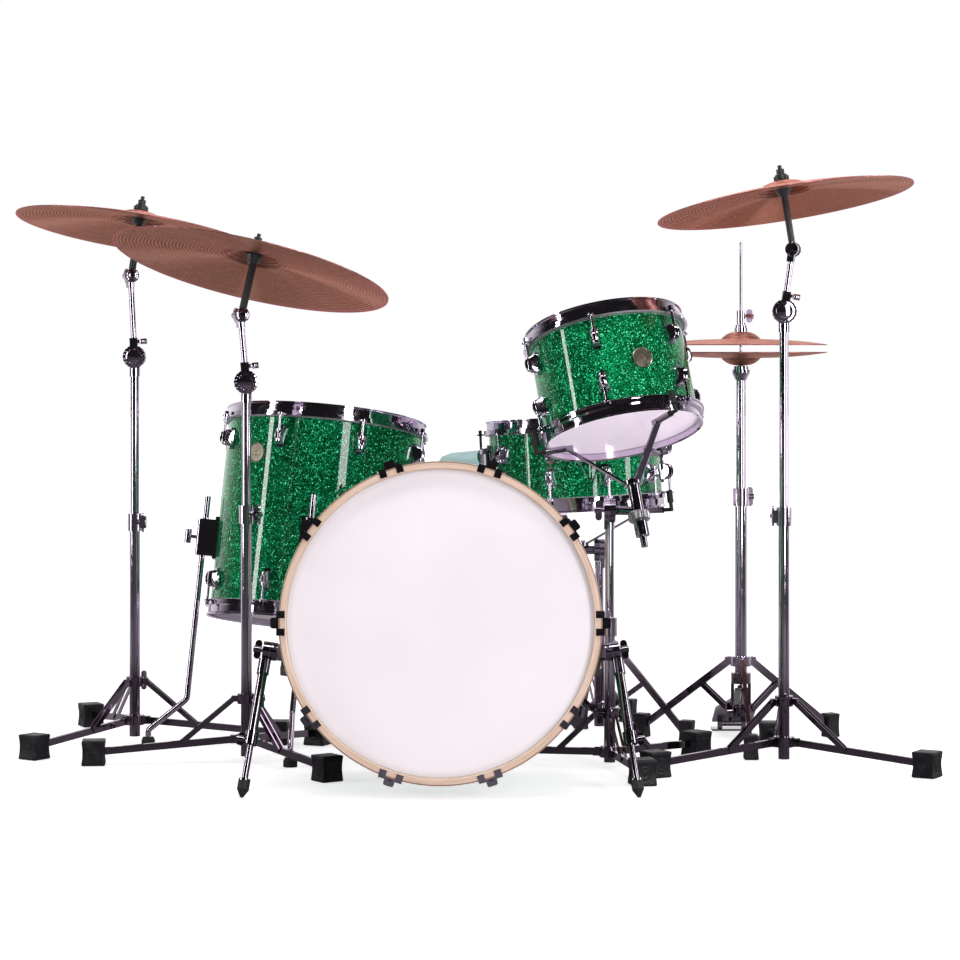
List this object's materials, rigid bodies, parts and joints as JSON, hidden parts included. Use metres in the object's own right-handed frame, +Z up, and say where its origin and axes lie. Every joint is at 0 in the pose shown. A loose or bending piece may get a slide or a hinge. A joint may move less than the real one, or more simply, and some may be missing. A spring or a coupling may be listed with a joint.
{
  "type": "acoustic drum kit",
  "caption": "Acoustic drum kit: bass drum, rack tom, floor tom and snare with tilting cymbals on stands, hi-hat, kick pedal and round seat.",
  "frame": {"origin": "on the floor under the middle of the kit's box", "axes": "+Z up, +X to the audience's right along the kit's width, -Y towards the audience"},
  "size_m": [1.852, 1.5588, 1.1812],
  "materials": {
    "sparkle_wrap": "gloss sparkle wrap",
    "coated_head": "coated film",
    "maple": "clear lacquer",
    "bronze": "lathed",
    "black_rubber": "matt",
    "seat_cover": "soft cover",
    "cast_alloy": "satin",
    "chromed_steel": "polished"
  },
  "bodies": {
    "kit": {"bass_shell": "sparkle_wrap", "bass_hoops": "maple", "bass_heads": "coated_head", "bass_lugs_and_claws": "chromed_steel", "bass_spur_brackets": "chromed_steel", "kick_pedal_frame": "cast_alloy", "floor_tom_shell": "sparkle_wrap", "floor_tom_hoops": "chromed_steel", "floor_tom_heads": "coated_head", "floor_tom_lugs": "chromed_steel", "floor_tom_brackets": "chromed_steel", "tom_stand_base": "chromed_steel", "snare_stand_base": "chromed_steel", "ride_stand_base": "chromed_steel", "left_crash_stand_base": "chromed_steel", "right_crash_stand_base": "chromed_steel", "hihat_stand_base": "chromed_steel", "throne_base": "chromed_steel", "rubber_feet": "black_rubber"},
    "spur_left": {"bass_spur_left": "chromed_steel"},
    "spur_right": {"bass_spur_right": "chromed_steel"},
    "kick_board": {"kick_footboard": "cast_alloy"},
    "beater": {"kick_beater": "cast_alloy"},
    "floor_leg_1": {"floor_tom_leg_1": "chromed_steel"},
    "floor_leg_2": {"floor_tom_leg_2": "chromed_steel"},
    "floor_leg_3": {"floor_tom_leg_3": "chromed_steel"},
    "tom_post": {"tom_stand_post": "chromed_steel"},
    "rack_tom": {"tom_basket": "chromed_steel", "rack_tom_shell": "sparkle_wrap", "rack_tom_hoops": "chromed_steel", "rack_tom_heads": "coated_head", "rack_tom_lugs": "chromed_steel"},
    "snare_post": {"snare_stand_post": "chromed_steel"},
    "snare": {"snare_basket": "chromed_steel", "snare_shell": "sparkle_wrap", "snare_hoops": "chromed_steel", "snare_heads": "coated_head", "snare_lugs": "chromed_steel", "snare_strainer": "chromed_steel", "snare_wires": "chromed_steel"},
    "snare_lever": {"snare_strainer_lever": "chromed_steel"},
    "hihat_tube": {"hihat_stand_post": "chromed_steel", "hihat_low_cymbal": "bronze"},
    "hihat_pull": {"hihat_rod": "chromed_steel", "hihat_top_cymbal": "bronze"},
    "hihat_board": {"hihat_footboard": "cast_alloy"},
    "throne_tube": {"throne_post": "chromed_steel"},
    "throne_top": {"throne_seat": "seat_cover"},
    "ride_post": {"ride_stand_post": "chromed_steel"},
    "ride_boom": {"ride_stand_boom": "chromed_steel"},
    "ride_tilt": {"ride_tilter": "chromed_steel"},
    "ride_plate": {"ride_cymbal": "bronze"},
    "left_crash_post": {"left_crash_stand_post": "chromed_steel"},
    "left_crash_boom": {"left_crash_stand_boom": "chromed_steel"},
    "left_crash_tilt": {"left_crash_tilter": "chromed_steel"},
    "left_crash_plate": {"left_crash_cymbal": "bronze"},
    "right_crash_post": {"right_crash_stand_post": "chromed_steel"},
    "right_crash_boom": {"right_crash_stand_boom": "chromed_steel"},
    "right_crash_tilt": {"right_crash_tilter": "chromed_steel"},
    "right_crash_plate": {"right_crash_cymbal": "bronze"}
  },
  "joints": [
    {"name": "spur_left_fold", "type": "hinge", "parent": "kit", "child": "spur_left", "pos_m": [-0.35014, -0.6483, 0.258], "axis": [-0.9893, 0, 0.1457], "range_deg": [-80, 0]},
    {"name": "spur_right_fold", "type": "hinge", "parent": "kit", "child": "spur_right", "pos_m": [0.28586, -0.6483, 0.258], "axis": [0.9893, 0, 0.1457], "range_deg": [0, 24]},
    {"name": "kick_footboard_press", "type": "hinge", "parent": "kit", "child": "kick_board", "pos_m": [-0.03214, -0.08958, 0.026], "axis": [1, 0, 0], "range_deg": [0, 4.4], "stiffness_Nm_per_rad": 6, "springref_deg": -14.32},
    {"name": "kick_beater_swing", "type": "hinge", "parent": "kit", "child": "beater", "pos_m": [-0.03214, -0.31086, 0.196], "axis": [1, 0, 0], "range_deg": [0, 42]},
    {"name": "floor_tom_leg_1_slide", "type": "slide", "parent": "kit", "child": "floor_leg_1", "axis": [0.0895, 0.1558, 0.9837], "range_m": [-0.05, 0.05]},
    {"name": "floor_tom_leg_2_slide", "type": "slide", "parent": "kit", "child": "floor_leg_2", "axis": [0.0895, 0.1558, 0.9837], "range_m": [-0.05, 0.05]},
    {"name": "floor_tom_leg_3_slide", "type": "slide", "parent": "kit", "child": "floor_leg_3", "axis": [0.0895, 0.1558, 0.9837], "range_m": [-0.05, 0.05]},
    {"name": "tom_stand_height", "type": "slide", "parent": "kit", "child": "tom_post", "axis": [0, 0, 1], "range_m": [-0.015, 0.08]},
    {"name": "rack_tom_tilt", "type": "hinge", "parent": "tom_post", "child": "rack_tom", "pos_m": [0.29386, -0.3453, 0.503], "axis": [1, 0, 0], "range_deg": [-2, 16]},
    {"name": "snare_stand_height", "type": "slide", "parent": "kit", "child": "snare_post", "axis": [0, 0, 1], "range_m": [-0.025, 0.01]},
    {"name": "snare_tilt", "type": "hinge", "parent": "snare_post", "child": "snare", "pos_m": [0.28986, 0.0547, 0.398], "axis": [1, 0, 0], "range_deg": [-9, 0]},
    {"name": "snare_release", "type": "hinge", "parent": "snare", "child": "snare_lever", "pos_m": [0.05441, -0.00052, 0.55283], "axis": [0.3069, -0.9505, 0.0493], "range_deg": [0, 70]},
    {"name": "ride_stand_height", "type": "slide", "parent": "kit", "child": "ride_post", "axis": [0, 0, 1], "range_m": [-0.04, 0.02]},
    {"name": "ride_boom_swing", "type": "hinge", "parent": "ride_post", "child": "ride_boom", "pos_m": [-0.42214, -0.2883, 0.754], "axis": [0, 1, 0], "range_deg": [-8, 8]},
    {"name": "ride_tilt", "type": "hinge", "parent": "ride_boom", "child": "ride_tilt", "pos_m": [-0.43373, -0.2883, 0.88649], "axis": [-0.5773, 0.815, -0.0505], "range_deg": [-8, 10]},
    {"name": "ride_cymbal_rock", "type": "hinge", "parent": "ride_tilt", "child": "ride_plate", "pos_m": [-0.40625, -0.26082, 1.01578], "axis": [-0.5773, 0.815, -0.0505], "range_deg": [-5, 5], "stiffness_Nm_per_rad": 6},
    {"name": "left_crash_stand_height", "type": "slide", "parent": "kit", "child": "left_crash_post", "axis": [0, 0, 1], "range_m": [-0.02, 0.08]},
    {"name": "left_crash_boom_swing", "type": "hinge", "parent": "left_crash_post", "child": "left_crash_boom", "pos_m": [-0.67814, 0.0147, 0.803], "axis": [0, 1, 0], "range_deg": [-8, 8]},
    {"name": "left_crash_tilt", "type": "hinge", "parent": "left_crash_boom", "child": "left_crash_tilt", "pos_m": [-0.68698, 0.0147, 0.97177], "axis": [-0.5634, 0.8257, -0.0295], "range_deg": [-8, 10]},
    {"name": "left_crash_cymbal_rock", "type": "hinge", "parent": "left_crash_tilt", "child": "left_crash_plate", "pos_m": [-0.66835, 0.03215, 1.10433], "axis": [-0.5634, 0.8257, -0.0295], "range_deg": [-5, 5], "stiffness_Nm_per_rad": 6},
    {"name": "right_crash_stand_height", "type": "slide", "parent": "kit", "child": "right_crash_post", "axis": [0, 0, 1], "range_m": [-0.08, 0.08]},
    {"name": "right_crash_boom_swing", "type": "hinge", "parent": "right_crash_post", "child": "right_crash_boom", "pos_m": [0.63686, -0.3303, 0.893], "axis": [0, 1, 0], "range_deg": [-10, 10]},
    {"name": "right_crash_tilt", "type": "hinge", "parent": "right_crash_boom", "child": "right_crash_tilt", "pos_m": [0.65398, -0.3303, 1.0148], "axis": [-0.3422, -0.9384, 0.0481], "range_deg": [-10, 12]},
    {"name": "right_crash_cymbal_rock", "type": "hinge", "parent": "right_crash_tilt", "child": "right_crash_plate", "pos_m": [0.63436, -0.31634, 1.14764], "axis": [-0.3422, -0.9384, 0.0481], "range_deg": [-5, 5], "stiffness_Nm_per_rad": 6},
    {"name": "hihat_height", "type": "slide", "parent": "kit", "child": "hihat_tube", "axis": [0, 0, 1], "range_m": [-0.05, 0]},
    {"name": "hihat_close", "type": "slide", "parent": "kit", "child": "hihat_pull", "axis": [0, 0, 1], "range_m": [-0.0135, 0]},
    {"name": "hihat_footboard_press", "type": "hinge", "parent": "kit", "child": "hihat_board", "pos_m": [0.58086, 0.22425, 0.014], "axis": [1, 0, 0], "range_deg": [0, 2.9], "stiffness_Nm_per_rad": 20, "springref_deg": -28.65},
    {"name": "throne_height", "type": "slide", "parent": "kit", "child": "throne_tube", "axis": [0, 0, 1], "range_m": [-0.05, 0.08]},
    {"name": "throne_spin", "type": "hinge", "parent": "throne_tube", "child": "throne_top", "pos_m": [0.10686, 0.4797, 0.592], "axis": [0, 0, 1], "continuous": true}
  ],
  "couplings": [
    {"joint": "kick_beater_swing", "follows": "kick_footboard_press", "ratio": 9.5},
    {"joint": "hihat_close", "follows": "hihat_footboard_press", "m_per_rad": -0.265}
  ]
}
